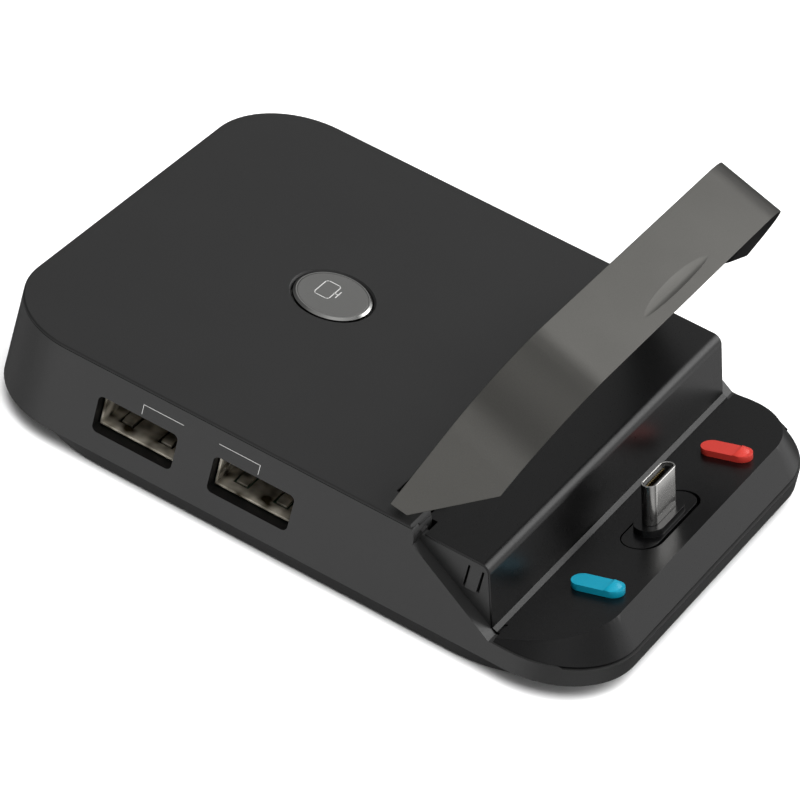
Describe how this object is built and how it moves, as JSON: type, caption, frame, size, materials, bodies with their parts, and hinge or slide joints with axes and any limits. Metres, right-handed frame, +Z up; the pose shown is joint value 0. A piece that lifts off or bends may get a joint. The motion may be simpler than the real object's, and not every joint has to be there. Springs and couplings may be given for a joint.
{
  "type": "console docking station",
  "caption": "Flat docking station for a handheld console: tilted cradle with a floating plug, fold-out support arm, round push button and side sockets.",
  "frame": {"origin": "centre of the bounding box on the table plane under the feet", "axes": "+Z up, -Y towards the cradle where the console stands, +X to the right seen from the cradle side"},
  "size_m": [0.0818, 0.1064, 0.0496],
  "materials": {
    "housing_plastic": "fine satin",
    "cover_plastic": "fine matte",
    "cradle_plastic": "semi-matte",
    "base_plastic": "matte",
    "foot_rubber": "matte",
    "screw_steel": "zinc plated",
    "pad_blue_rubber": "matte",
    "pad_red_rubber": "matte",
    "button_plastic": "satin",
    "bezel_metal": "polished",
    "switch_plastic": "matte",
    "board_laminate": "solder mask",
    "chip_plastic": "matte",
    "can_aluminium": "bright",
    "can_steel": "tinned",
    "socket_plastic": "matte",
    "flex_film": "polyimide",
    "shell_nickel": "nickel plated",
    "tongue_plastic": "matte",
    "contact_gold": "gold plated",
    "arm_paint": "gunmetal metallic paint",
    "pin_steel": "ground",
    "sleeve_bronze": "plain",
    "carrier_plastic": "semi-matte",
    "plug_nickel": "polished nickel"
  },
  "bodies": {
    "dock": {"housing": "housing_plastic", "top_cover": "cover_plastic", "front_cover": "cradle_plastic", "bottom_plate": "base_plastic", "feet": "foot_rubber", "case_screws": "screw_steel", "board_screws": "screw_steel", "pad_left": "pad_blue_rubber", "pad_right": "pad_red_rubber", "switch_body": "switch_plastic", "main_board": "board_laminate", "video_chip": "chip_plastic", "hub_chip": "chip_plastic", "power_chips": "chip_plastic", "capacitors": "can_aluminium", "inductors": "chip_plastic", "crystal": "can_steel", "shield_can": "can_steel", "flex_socket": "socket_plastic", "flex_cable": "flex_film", "usb_a_shell_rear": "shell_nickel", "usb_a_shell_front": "shell_nickel", "usb_a_tongue_rear": "tongue_plastic", "usb_a_tongue_front": "tongue_plastic", "usb_a_contacts": "contact_gold", "video_shell": "shell_nickel", "video_tongue": "tongue_plastic", "video_contacts": "contact_gold", "power_shell": "shell_nickel", "power_tongue": "tongue_plastic", "friction_sleeves": "sleeve_bronze", "carrier_cushions": "foot_rubber"},
    "arm": {"arm": "arm_paint", "hinge_pins": "pin_steel"},
    "button": {"button_cap": "button_plastic", "button_bezel": "bezel_metal", "switch_plunger": "switch_plastic"},
    "plug": {"plug_carrier": "carrier_plastic", "plug_shell": "plug_nickel", "plug_liner": "tongue_plastic", "plug_contacts": "contact_gold", "plug_board": "board_laminate"}
  },
  "joints": [
    {"name": "arm_hinge", "type": "hinge", "parent": "dock", "child": "arm", "pos_m": [0, -0.01715, 0.015], "axis": [1, 0, 0], "range_deg": [0, 71.4]},
    {"name": "button_press", "type": "slide", "parent": "dock", "child": "button", "axis": [0, 0, -1], "range_m": [0, 0.0005], "stiffness_N_per_m": 1500},
    {"name": "plug_tilt", "type": "hinge", "parent": "dock", "child": "plug", "pos_m": [0, -0.04319, 0.00602], "axis": [1, 0, 0], "range_deg": [-3, 3], "stiffness_Nm_per_rad": 0.3, "deforming": ["carrier_cushions"]}
  ]
}
